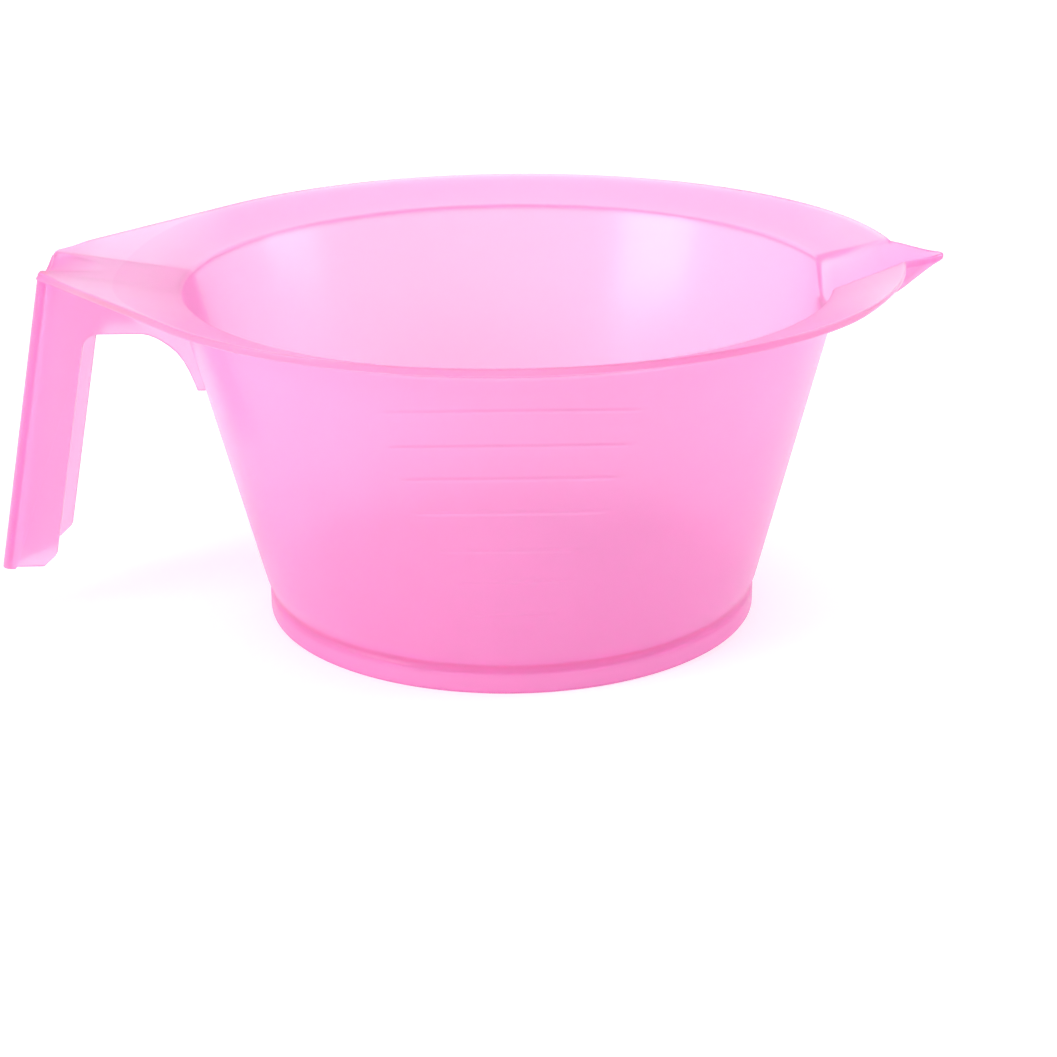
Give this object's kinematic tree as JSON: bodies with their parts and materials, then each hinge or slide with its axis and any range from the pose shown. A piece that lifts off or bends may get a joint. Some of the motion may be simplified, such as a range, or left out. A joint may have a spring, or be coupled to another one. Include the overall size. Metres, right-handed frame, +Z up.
{
  "type": "hair color bowl",
  "caption": "Round tapered mixing bowl for hair colour, with a flared rim, a pouring spout and a hooked channel handle, moulded in translucent pink plastic.",
  "frame": {"origin": "middle of the bounding box on the standing surface; the bowl's axis is 7.2 mm from it towards +X", "axes": "+Z up, +X towards the pouring spout (the object's length), the handle is on -X, Y across; the object is symmetric about the XZ plane apart from the measuring lines on the -Y side"},
  "size_m": [0.16, 0.131, 0.0608],
  "materials": {
    "tinted_shell": "translucent pink polypropylene, smooth semi-gloss moulding",
    "tinted_handle": "translucent pink polypropylene, smooth semi-gloss moulding",
    "raised_lines": "raised ribs of the same translucent pink polypropylene"
  },
  "bodies": {
    "root": {"bowl_wall": "tinted_shell", "bowl_floor": "tinted_shell", "foot_ring": "tinted_shell", "rim_lip": "tinted_shell", "pouring_spout": "tinted_shell", "handle_top_plate": "tinted_handle", "handle_spine": "tinted_handle", "handle_web_front": "tinted_handle", "handle_web_back": "tinted_handle", "measure_line_1": "raised_lines", "measure_line_2": "raised_lines", "measure_line_3": "raised_lines", "measure_line_4": "raised_lines", "measure_line_5": "raised_lines", "measure_line_6": "raised_lines", "measure_line_7": "raised_lines"}
  },
  "joints": []
}
